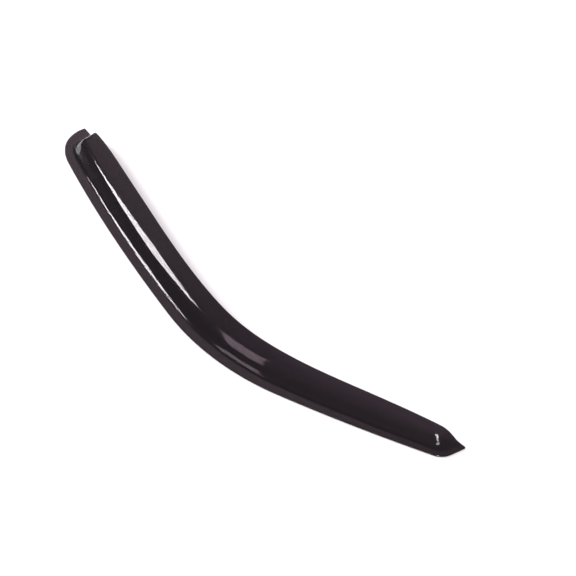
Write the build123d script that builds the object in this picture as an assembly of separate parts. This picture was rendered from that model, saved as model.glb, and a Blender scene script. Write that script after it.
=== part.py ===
from build123d import *
import os
from math import cos, degrees, radians, sin, tan

# Window rain deflector for a left front door: one formed sheet of smoke acrylic.
# It lies on its fixing flange with the outer face up. X runs along the roof rail to the rear,
# Y runs up the door from the free edge to the flange, and Z points away from the car.
# Lengths are millimetres and angles are degrees.

# The sheet
sheet = 3.0
edge_chamfer = 0.5
corner_round = 2.0

# Outer edge of the flange, three tangent arcs from the roof rail down the windscreen pillar
roof_length = 430.0
roof_radius = 3850.0
bend_radius = 456.0
bend_angle = 27.7
pillar_length = 225.6
pillar_radius = 2870.0

# Rear end, two arcs that round the flange down to the free edge
rear_ease_radius = 123.5
rear_ease_angle = 23.7
rear_corner_radius = 58.7
rear_corner_angle = 64.0

# Front end, a small corner and a straight slanting cut to the tip
front_corner_radius = 30.7
front_corner_angle = 45.0
front_cut_length = 23.4

# Free edge, its heading at both ends and its distance from the flange's outer edge between them
rear_edge_heading = 182.5
front_edge_heading = 192.0
width_rear = 72.3
width_roof_rear = 75.4
width_roof = 73.2
width_bend_start = 65.4
width_bend = 60.0
width_bend_end = 52.7
width_pillar = 45.5
width_front = 34.9

# Crown, the raised form inside the flange
flange_width = 17.9
rear_flange_width = 27.0
front_flange_width = 11.5
wall_slope = 48.0
rear_wall_heading = 16.0
rear_wall_slope = 38.0
front_wall_slope = 46.0
roof_slope = 10.3
roof_rise = 10.4
shoulder_radius = 28.0
rear_crown_corner = 24.0
front_crown_corner = 32.0
step_fillet = 12.0

# Lean of the crown on the flange, about the start of the bend
crown_roll = -1.26
crown_pitch = -0.73
crown_yaw = -0.85

# Stock that the trim cuts away
trim_margin = 30.0
stock_above = 65.0
stock_below = 25.0
overrun_angle = 3.0

UP = Vector(0, 0, 1)


def heading(angle):
    """Unit vector in the flange plane, angle counted from X."""
    return Vector(cos(radians(angle)), sin(radians(angle)))


def inboard(edge, along, width):
    """Point at a width inside the flange's outer edge."""
    point = edge @ along
    return point + (edge.arc_center - point).normalized() * width


# Flange outline, seen from the outer face
roof_turn = degrees(roof_length / roof_radius)
pillar_turn = degrees(pillar_length / pillar_radius)
roof_edge = JernArc((0, 0), heading(180 - roof_turn / 2), roof_radius, roof_turn)
bend_edge = JernArc(roof_edge @ 1, roof_edge % 1, bend_radius, bend_angle)
pillar_edge = JernArc(bend_edge @ 1, bend_edge % 1, pillar_radius, pillar_turn)
front_corner = JernArc(pillar_edge @ 1, pillar_edge % 1, front_corner_radius, front_corner_angle)
front_cut = Line(front_corner @ 1, front_corner @ 1 + (front_corner % 1) * front_cut_length)
rear_ease = JernArc(roof_edge @ 0, -(roof_edge % 0), rear_ease_radius, -rear_ease_angle)
rear_corner = JernArc(rear_ease @ 1, rear_ease % 1, rear_corner_radius, -rear_corner_angle)
free_edge = Spline(
    rear_corner @ 1,
    inboard(roof_edge, 0, width_rear),
    inboard(roof_edge, 0.25, width_roof_rear),
    inboard(roof_edge, 0.5, width_roof),
    inboard(bend_edge, 0, width_bend_start),
    inboard(bend_edge, 0.5, width_bend),
    inboard(bend_edge, 1, width_bend_end),
    inboard(pillar_edge, 0.5, width_pillar),
    inboard(pillar_edge, 1, width_front),
    front_cut @ 1,
    tangents=(heading(rear_edge_heading), heading(front_edge_heading)),
)
outline = make_face(
    [rear_corner, rear_ease, roof_edge, bend_edge, pillar_edge, front_corner, front_cut, free_edge]
)
outline = fillet(outline.vertices().sort_by_distance(free_edge)[:2], corner_round)


def end_wall(point, outward, slope, skin):
    """Plane of a crown end wall through a point of the flange, moved in by a skin."""
    normal = outward * sin(radians(slope)) + UP * cos(radians(slope))
    return Plane(origin=point + UP * sheet - normal * skin, z_dir=normal)


reach = outline.bounding_box().size.Y
pivot = roof_edge @ 1
lean = Location(pivot) * Rotation(crown_roll, crown_pitch, crown_yaw) * Location(pivot * -1)


def wall_profile(skin, depth):
    """Everything inboard of the step wall, in a plane across the edge: x runs inboard and y up."""
    run = 1 / tan(radians(wall_slope))
    foot = flange_width + skin / sin(radians(wall_slope))
    return Polyline(
        (foot - (stock_below + sheet) * run, -stock_below),
        (foot + (stock_above - sheet) * run, stock_above),
        (depth, stock_above),
        (depth, -stock_below),
        close=True,
    )


def roof_profile(skin, depth):
    """Everything below the roof, in the same plane."""
    gain = tan(radians(roof_slope))
    rise = sheet + roof_rise - skin / cos(radians(roof_slope))
    return Polyline(
        (-trim_margin, rise - trim_margin * gain),
        (depth, rise + depth * gain),
        (depth, -stock_below),
        (-trim_margin, -stock_below),
        close=True,
    )


# Runs of the crown along the edge: an arc, the joint that its profile starts from and its turn.
# The wall eases in with the flange at the rear, and the roof goes on along the roof rail.
front_runs = [
    (bend_edge, bend_edge @ 0, bend_angle),
    (pillar_edge, pillar_edge @ 0, pillar_turn + overrun_angle),
]
roof_rear_runs = [(roof_edge, roof_edge @ 1, -roof_turn - overrun_angle)]
wall_rear_runs = [
    (rear_ease, rear_ease @ 0, -rear_ease_angle - rear_corner_angle),
    (roof_edge, roof_edge @ 1, -roof_turn),
]


def swept(profile, skin, rear_runs):
    """Solid with one profile along the arcs of the edge, set at the crown's lean."""
    body = Part()
    for edge, joint, turn in rear_runs + front_runs:
        inward = edge.arc_center - joint
        across = Plane(origin=joint, x_dir=inward, z_dir=inward.cross(UP))
        section = across * make_face(profile(skin, min(reach, edge.radius - sheet)))
        body += revolve(section, Axis(edge.arc_center, UP), turn)
    return lean * body


# Faces of the crown, told apart by how steep they are
roof_limit = cos(radians((roof_slope + min(wall_slope, rear_wall_slope, front_wall_slope)) / 2))
upright_limit = cos(radians((90 + max(wall_slope, rear_wall_slope, front_wall_slope)) / 2))


def facing(body, low, high):
    """Faces of a body whose normals rise between two limits."""
    return body.faces().filter_by(lambda face: low < face.normal_at().Z <= high)


def shared(some, others):
    """Edges where faces of two groups meet."""
    meeting = others.edges()
    return some.edges().filter_by(lambda edge: edge in meeting)


def crown(skin):
    """Solid under the crown's outer face, moved in by a skin."""
    body = swept(wall_profile, skin, wall_rear_runs)
    rear_out = heading(rear_wall_heading)
    rear_foot = free_edge @ 0 + (free_edge % 0) * rear_flange_width
    front_out = (front_cut % 0).rotate(Axis.Z, -90)
    front_foot = front_cut @ 0 - front_out * front_flange_width
    body = split(body, end_wall(rear_foot, rear_out, rear_wall_slope, skin), keep=Keep.BOTTOM)
    body = split(body, end_wall(front_foot, front_out, front_wall_slope, skin), keep=Keep.BOTTOM)
    for place, radius in ((0, front_crown_corner), (-1, rear_crown_corner)):
        walls = facing(body, upright_limit, roof_limit)
        end = walls.filter_by(GeomType.PLANE).sort_by(Axis.X)[place]
        corner = shared(ShapeList([end]), walls.filter_by(GeomType.CONE))
        body = body.fillet(radius - skin, corner)
    body &= swept(roof_profile, skin, roof_rear_runs)
    shoulder = shared(facing(body, roof_limit, 1), facing(body, upright_limit, roof_limit))
    return body.fillet(shoulder_radius - skin, shoulder)


# Stock over the whole outline, with one side along the chord of the free edge
chord = Line(front_cut @ 1, free_edge @ 0)
bed = Plane(origin=chord @ 0.5, x_dir=chord % 0, z_dir=UP).location * Pos(0, -trim_margin)


def stock(height):
    """Block of a height that the formed sheet is cut from."""
    length = chord.length + 2 * trim_margin
    return bed * Box(length, reach + 2 * trim_margin, height, align=(Align.CENTER, Align.MIN, Align.MIN))


# The flange with the crown standing on it
formed = stock(sheet) + (stock(stock_above) & crown(0))
flange_top = formed.faces().filter_by(Axis.Z).sort_by(Axis.Z)[-1:]
foot = shared(flange_top, facing(formed, upright_limit, roof_limit))
formed = formed.fillet(step_fillet, foot)

# The hollow behind the crown leaves one sheet thickness
formed -= crown(sheet)
underside = formed.faces().filter_by(Axis.Z).sort_by(Axis.Z)[:1]
mouth = shared(underside, facing(formed, -roof_limit, -upright_limit))
formed = formed.fillet(step_fillet + sheet, mouth)

# Trim to the outline and chamfer the cut edge all round
deflector = formed & extrude(outline, formed.bounding_box().max.Z)
cut = facing(deflector, -upright_limit, upright_limit)
skins = deflector.faces().filter_by(lambda face: abs(face.normal_at().Z) > upright_limit)
deflector = deflector.chamfer(edge_chamfer, None, shared(cut, skins))

# The origin sits under the middle of the box around the part
middle = deflector.bounding_box().center()
deflector = Pos(-middle.X, -middle.Y) * deflector

os.makedirs("parts", exist_ok=True)
export_step(deflector, "parts/rain_deflector.step")
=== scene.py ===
from math import atan2, copysign, cos, degrees, pi, radians, sin, tan

import bmesh
import bpy
from mathutils import Matrix, Vector


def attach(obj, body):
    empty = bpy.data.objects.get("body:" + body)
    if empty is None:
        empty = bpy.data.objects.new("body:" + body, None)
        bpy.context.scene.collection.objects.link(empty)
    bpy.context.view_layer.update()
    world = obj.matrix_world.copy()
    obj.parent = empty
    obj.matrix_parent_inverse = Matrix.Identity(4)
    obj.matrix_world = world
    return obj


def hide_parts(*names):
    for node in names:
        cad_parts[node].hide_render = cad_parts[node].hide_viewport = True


# Camera, in metres in the part's frame
CAMERA_PLACE = Vector((-0.60616, 0.25776, 0.75130))
CAMERA_AIM = Vector((-0.10728, -0.07128, 0.0))
CAMERA_LENS_MM = 37.5
CAMERA_SENSOR_MM = 36.0

# Floor
FLOOR_SIZE = 30.0
FLOOR_GAP = 0.0002
FLOOR_COLOUR = (0.85, 0.85, 0.85, 1.0)
FLOOR_GLOW = (0.35, 0.35, 0.35, 1.0)

# Dim studio walls, and what hangs on them: the angle from its middle that each covers whole,
# and the angle where it has faded out
STUDIO_COLOUR = (0.17, 0.153, 0.163, 1.0)
HANGINGS = {
    "far_backdrop": {
        "bearing": -2.0, "height": 34.0, "core": 22.0, "reach": 43.0, "colour": (0.84, 0.66, 0.74, 1.0),
    },
    "dark_ceiling": {
        "bearing": 0.0, "height": 90.0, "core": 16.0, "reach": 26.0, "colour": (0.12, 0.108, 0.115, 1.0),
    },
}

# Lamps: bearing left of the camera's heading, height above the floor and roll in degrees,
# distance and sides in metres, brightness in watts per square metre and steradian, colour
LAMPS = {
    "key_softbox": {
        "bearing": 64.1, "height": 38.0, "roll": 11.1,
        "distance": 3.0, "sides": (0.96, 1.16), "brightness": 17.5, "colour": (1.0, 0.95, 1.0),
    },
    "side_panel": {
        "bearing": 114.9, "height": 42.7, "roll": -65.9,
        "distance": 2.7, "sides": (1.9, 0.76), "brightness": 2.4, "colour": (1.0, 0.78, 0.92),
    },
    "fill_panel": {
        "bearing": -104.0, "height": 27.0, "roll": 0.0,
        "distance": 3.0, "sides": (1.6, 1.2), "brightness": 7.5, "colour": (1.0, 1.0, 1.0),
    },
    "camera_softbox": {
        "bearing": -176.3, "height": 28.0, "roll": 10.2,
        "distance": 2.65, "sides": (0.43, 0.69), "brightness": 16.0, "colour": (1.0, 1.0, 1.0),
    },
}

# Smoke acrylic
ACRYLIC_IOR = 1.49
ACRYLIC_CLARITY = 1.0
SMOKE_COLOUR = (0.13, 0.05, 0.12, 1.0)
SMOKE_DENSITY = 1270.0
CLEAR = (1.0, 1.0, 1.0, 1.0)
POLISH_LOW = 0.06
POLISH_HIGH = 0.09
WIPE_SCALE = 7.0
RIPPLE_SCALE = 9.0
RIPPLE_DETAIL = 0.0
RIPPLE_STRENGTH = 0.1
RIPPLE_HEIGHT = 0.0001

# Cut edge of the sheet, told apart from the skins by how upright it stands
CUT_FACE_RISE = 0.3
SKIN_FACE_RISE = 0.5
CUT_ROUGHNESS = 0.4
# Painted amber light on the cut edge: it colours the edge's reflection and the light seen through it
CUT_EDGE_PAINTED_LIGHT = (1.0, 0.6, 0.42, 1.0)

# Sizes of the sheet in millimetres, the same as the solid's
MM = 0.001
SHEET = 3.0
EDGE_CHAMFER = 0.5
CORNER_ROUND = 2.0
CORNER_STEPS = 4

# Outer edge of the flange: three tangent arcs, an easing and a corner at the rear,
# a corner and a straight cut at the front
ROOF_LENGTH = 430.0
ROOF_RADIUS = 3850.0
BEND_RADIUS = 456.0
BEND_ANGLE = 27.7
PILLAR_LENGTH = 225.6
PILLAR_RADIUS = 2870.0
REAR_EASE_RADIUS = 123.5
REAR_EASE_ANGLE = 23.7
REAR_CORNER_RADIUS = 58.7
REAR_CORNER_ANGLE = 64.0
FRONT_CORNER_RADIUS = 30.7
FRONT_CORNER_ANGLE = 45.0
FRONT_CUT_LENGTH = 23.4

# Free edge, its heading at both ends and its distance from the flange's outer edge between them
REAR_EDGE_HEADING = 182.5
FRONT_EDGE_HEADING = 192.0
ROOF_WIDTHS = ((0.0, 72.3), (0.25, 75.4), (0.5, 73.2), (1.0, 65.4))
BEND_WIDTHS = ((0.5, 60.0), (1.0, 52.7))
PILLAR_WIDTHS = ((0.5, 45.5), (1.0, 34.9))

# Crown, the raised form inside the flange
FLANGE_WIDTH = 17.9
REAR_FLANGE_WIDTH = 27.0
FRONT_FLANGE_WIDTH = 11.5
WALL_SLOPE = 48.0
REAR_WALL_HEADING = 16.0
REAR_WALL_SLOPE = 38.0
FRONT_WALL_SLOPE = 46.0
ROOF_SLOPE = 10.3
ROOF_RISE = 10.4
SHOULDER_RADIUS = 28.0
REAR_CROWN_CORNER = 24.0
FRONT_CROWN_CORNER = 32.0
STEP_FILLET = 12.0
CROWN_ROLL = -1.26
CROWN_PITCH = -0.73
CROWN_YAW = -0.85

# Mesh of the sheet: steps across and along it, wider next to the cut edge
GRID_HALF = 1.0
ROWS = 64
ROW_EDGE_SHARE = 0.14
COLUMN_STEP = 3.0
END_STEP = 1.6
REAR_EDGE_SHARE = 0.08
FRONT_EDGE_SHARE = 0.18
HEIGHT_ROUNDS = 12
FAIR_ROUNDS = 40
CORNER_ANGLE = 45.0
RIM_ANGLE = 60.0
CREASE_ANGLE = 25.0
SKIN_GAP = 0.15

QUARTER_TURN = 90.0
HALF_TURN = 180.0
CUBIC = 3
UP = Vector((0, 0, 1))


def heading(angle):
    """Unit vector in the flange plane, angle in degrees from X."""
    return Vector((cos(radians(angle)), sin(radians(angle)), 0))


class Arc:
    """Arc in the flange plane that leaves a point on a heading and turns left, or right if negative."""

    def __init__(self, start, angle, radius, turn):
        self.angle = angle
        self.radius = radius
        self.turn = turn
        self.spoke = angle - copysign(QUARTER_TURN, turn)
        self.centre = start - heading(self.spoke) * radius

    def at(self, along, inset=0):
        """Point at a share of the arc, moved in towards the centre."""
        return self.centre + heading(self.spoke + self.turn * along) * (self.radius - inset)

    def way(self, along):
        """Heading at a share of the arc."""
        return self.angle + self.turn * along


ROOF_TURN = degrees(ROOF_LENGTH / ROOF_RADIUS)
PILLAR_TURN = degrees(PILLAR_LENGTH / PILLAR_RADIUS)
ROOF_EDGE = Arc(Vector(), HALF_TURN - ROOF_TURN / 2, ROOF_RADIUS, ROOF_TURN)
BEND_EDGE = Arc(ROOF_EDGE.at(1), ROOF_EDGE.way(1), BEND_RADIUS, BEND_ANGLE)
PILLAR_EDGE = Arc(BEND_EDGE.at(1), BEND_EDGE.way(1), PILLAR_RADIUS, PILLAR_TURN)
FRONT_CORNER = Arc(PILLAR_EDGE.at(1), PILLAR_EDGE.way(1), FRONT_CORNER_RADIUS, FRONT_CORNER_ANGLE)
REAR_EASE = Arc(ROOF_EDGE.at(0), ROOF_EDGE.way(0) + HALF_TURN, REAR_EASE_RADIUS, -REAR_EASE_ANGLE)
REAR_CORNER = Arc(REAR_EASE.at(1), REAR_EASE.way(1), REAR_CORNER_RADIUS, -REAR_CORNER_ANGLE)
EDGE_WIDTHS = ((ROOF_EDGE, ROOF_WIDTHS), (BEND_EDGE, BEND_WIDTHS), (PILLAR_EDGE, PILLAR_WIDTHS))
FRONT_HEADING = FRONT_CORNER.way(1)
REAR_POINT = REAR_CORNER.at(1)
TIP = FRONT_CORNER.at(1) + heading(FRONT_HEADING) * FRONT_CUT_LENGTH

# The crown leans on the flange about the start of the bend
PIVOT = BEND_EDGE.at(0)
LEAN = (
    Matrix.Rotation(radians(CROWN_ROLL), 3, "X")
    @ Matrix.Rotation(radians(CROWN_PITCH), 3, "Y")
    @ Matrix.Rotation(radians(CROWN_YAW), 3, "Z")
)
UNLEAN = LEAN.transposed()

# Feet of the crown's end walls on the flange, and the ways they face
REAR_FOOT = REAR_POINT + heading(REAR_EDGE_HEADING) * REAR_FLANGE_WIDTH + UP * SHEET
REAR_OUT = heading(REAR_WALL_HEADING)
FRONT_OUT = heading(FRONT_HEADING - QUARTER_TURN)
FRONT_FOOT = FRONT_CORNER.at(1) - FRONT_OUT * FRONT_FLANGE_WIDTH + UP * SHEET


def slanted(outward, slope):
    """Normal of a face that faces outward at a slope."""
    return outward * sin(radians(slope)) + UP * cos(radians(slope))


def edge_face(point, rear_edge, inset, rise, slope):
    """Distance and normal of a crown face that follows the flange's edge, and another arc behind it."""
    leaned = UNLEAN @ (point - PIVOT) + PIVOT
    edge = PILLAR_EDGE
    if leaned.dot(heading(ROOF_EDGE.way(0))) < 0:
        edge = rear_edge
    elif (leaned - PIVOT).dot(heading(BEND_EDGE.way(0))) < 0:
        edge = ROOF_EDGE
    elif (leaned - BEND_EDGE.at(1)).dot(heading(BEND_EDGE.way(1))) < 0:
        edge = BEND_EDGE
    outward = ((leaned - edge.centre) * Vector((1, 1, 0))).normalized()
    normal = slanted(outward, slope)
    foot = edge.centre + outward * (edge.radius - inset) + UP * rise
    return (leaned - foot).dot(normal), LEAN @ normal


def end_face(point, foot, outward, slope):
    """Distance and normal of a crown end wall."""
    normal = slanted(outward, slope)
    return (point - foot).dot(normal), normal


def rounded(one, other, radius):
    """Distance and normal where two faces meet in a round."""
    alike = one[1].dot(other[1])
    reach = one[0] + radius
    other_reach = other[0] + radius
    share = (reach - alike * other_reach) / (1 - alike ** 2)
    other_share = (other_reach - alike * reach) / (1 - alike ** 2)
    if share <= 0:
        return other
    if other_share <= 0:
        return one
    arm = one[1] * share + other[1] * other_share
    return arm.length - radius, arm.normalized()


def outer_face(point):
    """Distance and normal of the sheet's whole outer face: flange, step and crown."""
    wall = edge_face(point, REAR_EASE, FLANGE_WIDTH, SHEET, WALL_SLOPE)
    front = end_face(point, FRONT_FOOT, FRONT_OUT, FRONT_WALL_SLOPE)
    rear = end_face(point, REAR_FOOT, REAR_OUT, REAR_WALL_SLOPE)
    roof = edge_face(point, ROOF_EDGE, 0, SHEET + ROOF_RISE, ROOF_SLOPE)
    wall = rounded(wall, front, FRONT_CROWN_CORNER)
    wall = rounded(wall, rear, REAR_CROWN_CORNER)
    depth, normal = rounded(wall, roof, SHOULDER_RADIUS)
    gap, way_in = rounded((-depth, -normal), (SHEET - point.z, -UP), STEP_FILLET)
    return -gap, -way_in


def lifted(point, depth):
    """Point above a place of the flange plane, at a depth under the sheet's outer face."""
    place = point + UP * SHEET
    for _ in range(HEIGHT_ROUNDS):
        gap, normal = outer_face(place)
        place.z -= (gap + depth) / normal.z
    return place


def bezier(knots, along):
    """Point of a Bezier curve at a share of its length."""
    while len(knots) > 1:
        knots = [one.lerp(other, along) for one, other in zip(knots, knots[1:])]
    return knots[0]


def free_edge():
    """Bezier spans of the free edge from the rear corner to the tip, faired through its guides."""
    guides = [REAR_POINT]
    for edge, widths in EDGE_WIDTHS:
        guides += [edge.at(along, width) for along, width in widths]
    guides.append(TIP)
    ways = [heading(REAR_EDGE_HEADING)] * (len(guides) - 1) + [heading(FRONT_EDGE_HEADING)]
    for _ in range(FAIR_ROUNDS):
        for place in range(1, len(guides) - 1):
            arriving = guides[place] - guides[place - 1]
            leaving = guides[place + 1] - guides[place]
            pull = (CUBIC * arriving / arriving.length - ways[place - 1]) / arriving.length
            push = (CUBIC * leaving / leaving.length - ways[place + 1]) / leaving.length
            ways[place] = (pull + push) / (2 / arriving.length + 2 / leaving.length)
    spans = []
    for start, end, way, end_way in zip(guides, guides[1:], ways, ways[1:]):
        handle = (end - start).length / CUBIC
        spans.append([start, start + way * handle, end - end_way * handle, end])
    return spans


def shares(count, first=0.0, last=0.0):
    """Even shares from 0 to 1, with a first and a last step of their own."""
    inner = [first + (1 - first - last) * step / count for step in range(count + 1)]
    return [0.0] * bool(first) + inner + [1.0] * bool(last)


def crosswise_lines():
    """Lines across the sheet from rear to front: outer end, free end, share of the rear swell."""
    edges = [(REAR_EASE, 1.0, 0.0)]
    for edge, widths in EDGE_WIDTHS:
        stops = [0.0] + [along for along, _ in widths if along > 0]
        edges += [(edge, one, other) for one, other in zip(stops, stops[1:])]
    edges.append((FRONT_CORNER, 0.0, 1.0))
    spans = free_edge()
    lines = []
    for place, ((edge, begin, end), span) in enumerate(zip(edges, spans)):
        is_rear = place == 0
        is_front = place == len(spans) - 1
        step = END_STEP if is_rear or is_front else COLUMN_STEP
        count = round((span[-1] - span[0]).length / step)
        first = REAR_EDGE_SHARE if is_rear else 0.0
        last = FRONT_EDGE_SHARE if is_front else 0.0
        for along in shares(count, first, last)[bool(lines):]:
            outer = edge.at(begin + (end - begin) * along)
            lines.append((outer, bezier(span, along), 1 - along if is_rear else 0.0))
    return lines


def bevel(sheet, edges, offset, segments):
    """Bevel edges of the sheet."""
    bmesh.ops.bevel(
        sheet,
        geom=edges,
        offset=offset,
        offset_type="OFFSET",
        segments=segments,
        profile=0.5,
        affect="EDGES",
        material=-1,
        clamp_overlap=False,
    )


def trim_edges(sheet):
    """Round the two sharp corners of the outline and chamfer the cut edge."""
    for edge in list(sheet.edges):
        is_upright = (edge.verts[0].co - edge.verts[1].co).normalized().z ** 2 > cos(radians(CORNER_ANGLE))
        turn = edge.calc_face_angle(0)
        if is_upright and turn > radians(CORNER_ANGLE):
            offset = CORNER_ROUND * tan(turn / 2)
            bevel(sheet, [edge], offset, CORNER_STEPS)
    rim = [edge for edge in sheet.edges if edge.calc_face_angle(0) > radians(RIM_ANGLE)]
    bevel(sheet, rim, EDGE_CHAMFER, 1)


def grid_item(items, place):
    """Item at a place of the flat grid, which runs from one side of its middle to the other."""
    return items[round((place + GRID_HALF) / (2 * GRID_HALF) * (len(items) - 1))]


def smooth_sheet():
    """The formed sheet as one closed, evenly meshed piece."""
    lines = crosswise_lines()
    rows = shares(ROWS, ROW_EDGE_SHARE, ROW_EDGE_SHARE)
    sheet = bmesh.new()
    bmesh.ops.create_grid(sheet, x_segments=len(lines) - 1, y_segments=len(rows) - 1, size=GRID_HALF)
    for vert in sheet.verts:
        outer, free, swell = grid_item(lines, vert.co.x)
        across = grid_item(rows, vert.co.y)
        bulge = REAR_CORNER.at(across) - REAR_CORNER.at(0).lerp(REAR_POINT, across)
        vert.co = outer.lerp(free, across) + bulge * swell
    lower = list(sheet.verts)
    raised = bmesh.ops.extrude_face_region(sheet, geom=list(sheet.faces), use_keep_orig=True)["geom"]
    upper = [part for part in raised if isinstance(part, bmesh.types.BMVert)]
    for verts, depth in ((upper, 0.0), (lower, SHEET)):
        for vert in verts:
            vert.co = lifted(vert.co, depth)
    bmesh.ops.recalc_face_normals(sheet, faces=sheet.faces)
    trim_edges(sheet)
    return sheet


def skin_normals(mesh):
    """Exact normals at the corners of both skins' faces, and none at those of the cut edge."""
    skins = [outer_face(vert.co) for vert in mesh.vertices]
    normals = [Vector() for _ in mesh.loops]
    for face in mesh.polygons:
        for depth, side in ((0, 1), (SHEET, -1)):
            if all(abs(skins[vert][0] + depth) < SKIN_GAP for vert in face.vertices):
                for corner, vert in zip(face.loop_indices, face.vertices):
                    normals[corner] = skins[vert][1] * side
    return normals


def add_deflector(material):
    """Smooth sheet in place of the solid's coarse mesh, with its origin under the middle of its box."""
    sheet = smooth_sheet()
    for face in sheet.faces:
        face.smooth = True
    mesh = bpy.data.meshes.new("smoke_sheet")
    sheet.to_mesh(mesh)
    sheet.free()
    normals = skin_normals(mesh)
    spans = [[vert.co[axis] for vert in mesh.vertices] for axis in range(2)]
    middle = Vector([(min(span) + max(span)) / 2 for span in spans] + [0])
    mesh.transform(Matrix.Scale(MM, 4) @ Matrix.Translation(-middle))
    mesh.set_sharp_from_angle(angle=radians(CREASE_ANGLE))
    mesh.normals_split_custom_set(normals)
    mesh.materials.append(material)
    piece = bpy.data.objects.new("smoke_sheet", mesh)
    bpy.context.scene.collection.objects.link(piece)
    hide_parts("rain_deflector")
    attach(piece, "root")


def add_camera():
    """Camera at the photograph's viewing angle."""
    data = bpy.data.cameras.new("photo_camera")
    data.lens = CAMERA_LENS_MM
    data.sensor_width = CAMERA_SENSOR_MM
    camera = bpy.data.objects.new("photo_camera", data)
    camera.location = CAMERA_PLACE
    camera.rotation_euler = (CAMERA_AIM - CAMERA_PLACE).to_track_quat("-Z", "Y").to_euler()
    bpy.context.scene.collection.objects.link(camera)
    bpy.context.scene.camera = camera


def node_tree(owner):
    """Emptied node tree of a material or a world."""
    owner.use_nodes = True
    owner.node_tree.nodes.clear()
    return owner.node_tree


def add_floor():
    """Pale floor just under the flange, with a glow that only camera, mirror and glass rays see."""
    material = bpy.data.materials.new("floor_white")
    tree = node_tree(material)
    paint = tree.nodes.new("ShaderNodeBsdfDiffuse")
    paint.inputs["Color"].default_value = FLOOR_COLOUR
    glow = tree.nodes.new("ShaderNodeEmission")
    glow.inputs["Color"].default_value = FLOOR_GLOW
    path = tree.nodes.new("ShaderNodeLightPath")
    direct = tree.nodes.new("ShaderNodeMath")
    direct.operation = "MAXIMUM"
    seen = tree.nodes.new("ShaderNodeMath")
    seen.operation = "MAXIMUM"
    whole = tree.nodes.new("ShaderNodeAddShader")
    output = tree.nodes.new("ShaderNodeOutputMaterial")
    tree.links.new(path.outputs["Is Camera Ray"], direct.inputs[0])
    tree.links.new(path.outputs["Is Glossy Ray"], direct.inputs[1])
    tree.links.new(direct.outputs[0], seen.inputs[0])
    tree.links.new(path.outputs["Is Transmission Ray"], seen.inputs[1])
    tree.links.new(seen.outputs[0], glow.inputs["Strength"])
    tree.links.new(paint.outputs[0], whole.inputs[0])
    tree.links.new(glow.outputs[0], whole.inputs[1])
    tree.links.new(whole.outputs[0], output.inputs["Surface"])
    bpy.ops.mesh.primitive_plane_add(size=FLOOR_SIZE, location=(0, 0, -FLOOR_GAP))
    floor = bpy.context.object
    floor.name = "floor"
    floor.data.materials.append(material)


def bearing_vector(bearing, height):
    """Unit vector at a bearing left of the camera's heading and a height above the floor, in degrees."""
    ahead = CAMERA_AIM - CAMERA_PLACE
    turn = atan2(ahead.y, ahead.x) + radians(bearing)
    level = cos(radians(height))
    return Vector((cos(turn) * level, sin(turn) * level, sin(radians(height))))


def add_studio():
    """Dim studio walls with what hangs on them."""
    world = bpy.data.worlds.new("studio")
    tree = node_tree(world)
    direction = tree.nodes.new("ShaderNodeTexCoord")
    background = tree.nodes.new("ShaderNodeBackground")
    background.inputs["Color"].default_value = STUDIO_COLOUR
    output = tree.nodes.new("ShaderNodeOutputWorld")
    tree.links.new(background.outputs[0], output.inputs["Surface"])
    behind = None
    for hanging in HANGINGS.values():
        towards = tree.nodes.new("ShaderNodeVectorMath")
        towards.operation = "DOT_PRODUCT"
        towards.inputs[1].default_value = bearing_vector(hanging["bearing"], hanging["height"])
        cover = tree.nodes.new("ShaderNodeMapRange")
        cover.interpolation_type = "SMOOTHSTEP"
        cover.inputs["From Min"].default_value = cos(radians(hanging["reach"]))
        cover.inputs["From Max"].default_value = cos(radians(hanging["core"]))
        walls = tree.nodes.new("ShaderNodeMix")
        walls.data_type = "RGBA"
        walls.inputs["A"].default_value = STUDIO_COLOUR
        walls.inputs["B"].default_value = hanging["colour"]
        tree.links.new(direction.outputs["Generated"], towards.inputs[0])
        tree.links.new(towards.outputs["Value"], cover.inputs["Value"])
        tree.links.new(cover.outputs["Result"], walls.inputs["Factor"])
        if behind:
            tree.links.new(behind, walls.inputs["A"])
        behind = walls.outputs["Result"]
        tree.links.new(behind, background.inputs["Color"])
    bpy.context.scene.world = world


def add_lamp(name, bearing, height, roll, distance, sides, brightness, colour):
    """Rectangular lamp that faces the camera's aim, placed by its bearing from the camera's heading."""
    outward = bearing_vector(bearing, height)
    across = UP.cross(outward).normalized()
    upright = outward.cross(across)
    spin = radians(roll)
    wide = across * cos(spin) + upright * sin(spin)
    tall = upright * cos(spin) - across * sin(spin)
    data = bpy.data.lights.new(name, "AREA")
    data.shape = "RECTANGLE"
    data.size, data.size_y = sides
    data.energy = brightness * pi * sides[0] * sides[1]
    data.color = colour
    lamp = bpy.data.objects.new(name, data)
    turned = Matrix((wide, tall, outward)).transposed().to_4x4()
    lamp.matrix_world = Matrix.Translation(CAMERA_AIM + outward * distance) @ turned
    lamp.visible_camera = False
    bpy.context.scene.collection.objects.link(lamp)


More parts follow.
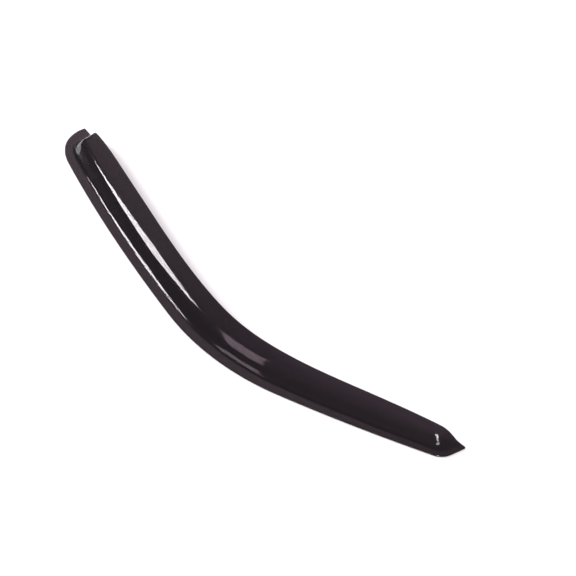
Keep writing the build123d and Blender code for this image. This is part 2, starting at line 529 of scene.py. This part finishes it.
def smoke_acrylic():
    """Tinted clear acrylic: a gloss skin and a satin cut edge over a body that takes up light, with
    painted amber light in the cut edge's colour and reflection.
    """
    material = bpy.data.materials.new("smoke_acrylic_gloss")
    tree = node_tree(material)
    place = tree.nodes.new("ShaderNodeTexCoord")
    facing = tree.nodes.new("ShaderNodeSeparateXYZ")
    rise = tree.nodes.new("ShaderNodeMath")
    rise.operation = "ABSOLUTE"
    cut = tree.nodes.new("ShaderNodeMapRange")
    cut.inputs["From Min"].default_value = CUT_FACE_RISE
    cut.inputs["From Max"].default_value = SKIN_FACE_RISE
    wipes = tree.nodes.new("ShaderNodeTexNoise")
    wipes.inputs["Scale"].default_value = WIPE_SCALE
    polish = tree.nodes.new("ShaderNodeMapRange")
    polish.inputs["To Min"].default_value = POLISH_LOW
    polish.inputs["To Max"].default_value = POLISH_HIGH
    finish = tree.nodes.new("ShaderNodeMix")
    finish.inputs["A"].default_value = CUT_ROUGHNESS
    # Painted amber light on the cut edge, put into its base colour and the tint of its reflection
    painted_edge_light = tree.nodes.new("ShaderNodeMix")
    painted_edge_light.data_type = "RGBA"
    painted_edge_light.inputs["A"].default_value = CUT_EDGE_PAINTED_LIGHT
    painted_edge_light.inputs["B"].default_value = CLEAR
    ripple = tree.nodes.new("ShaderNodeTexNoise")
    ripple.inputs["Scale"].default_value = RIPPLE_SCALE
    ripple.inputs["Detail"].default_value = RIPPLE_DETAIL
    swell = tree.nodes.new("ShaderNodeBump")
    swell.inputs["Strength"].default_value = RIPPLE_STRENGTH
    swell.inputs["Distance"].default_value = RIPPLE_HEIGHT
    skin = tree.nodes.new("ShaderNodeBsdfPrincipled")
    skin.inputs["IOR"].default_value = ACRYLIC_IOR
    skin.inputs["Transmission Weight"].default_value = ACRYLIC_CLARITY
    body = tree.nodes.new("ShaderNodeVolumeAbsorption")
    body.inputs["Color"].default_value = SMOKE_COLOUR
    body.inputs["Density"].default_value = SMOKE_DENSITY
    output = tree.nodes.new("ShaderNodeOutputMaterial")
    tree.links.new(place.outputs["Normal"], facing.inputs[0])
    tree.links.new(facing.outputs["Z"], rise.inputs[0])
    tree.links.new(rise.outputs[0], cut.inputs["Value"])
    tree.links.new(place.outputs["Object"], wipes.inputs["Vector"])
    tree.links.new(wipes.outputs[0], polish.inputs["Value"])
    tree.links.new(cut.outputs["Result"], finish.inputs["Factor"])
    tree.links.new(polish.outputs["Result"], finish.inputs["B"])
    tree.links.new(finish.outputs["Result"], skin.inputs["Roughness"])
    tree.links.new(cut.outputs["Result"], painted_edge_light.inputs["Factor"])
    tree.links.new(painted_edge_light.outputs["Result"], skin.inputs["Base Color"])
    tree.links.new(painted_edge_light.outputs["Result"], skin.inputs["Specular Tint"])
    tree.links.new(place.outputs["Object"], ripple.inputs["Vector"])
    tree.links.new(ripple.outputs[0], swell.inputs["Height"])
    tree.links.new(swell.outputs[0], skin.inputs["Normal"])
    tree.links.new(skin.outputs[0], output.inputs["Surface"])
    tree.links.new(body.outputs[0], output.inputs["Volume"])
    return material


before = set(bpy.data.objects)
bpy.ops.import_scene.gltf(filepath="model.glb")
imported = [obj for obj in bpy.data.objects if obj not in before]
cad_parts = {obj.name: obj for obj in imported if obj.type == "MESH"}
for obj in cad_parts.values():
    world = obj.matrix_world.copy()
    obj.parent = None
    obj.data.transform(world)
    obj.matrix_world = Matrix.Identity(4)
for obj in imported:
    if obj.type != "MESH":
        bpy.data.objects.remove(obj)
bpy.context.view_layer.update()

add_camera()
add_floor()
add_studio()
for name, lamp in LAMPS.items():
    add_lamp(name, **lamp)
bpy.context.scene.view_settings.view_transform = "Standard"
add_deflector(smoke_acrylic())
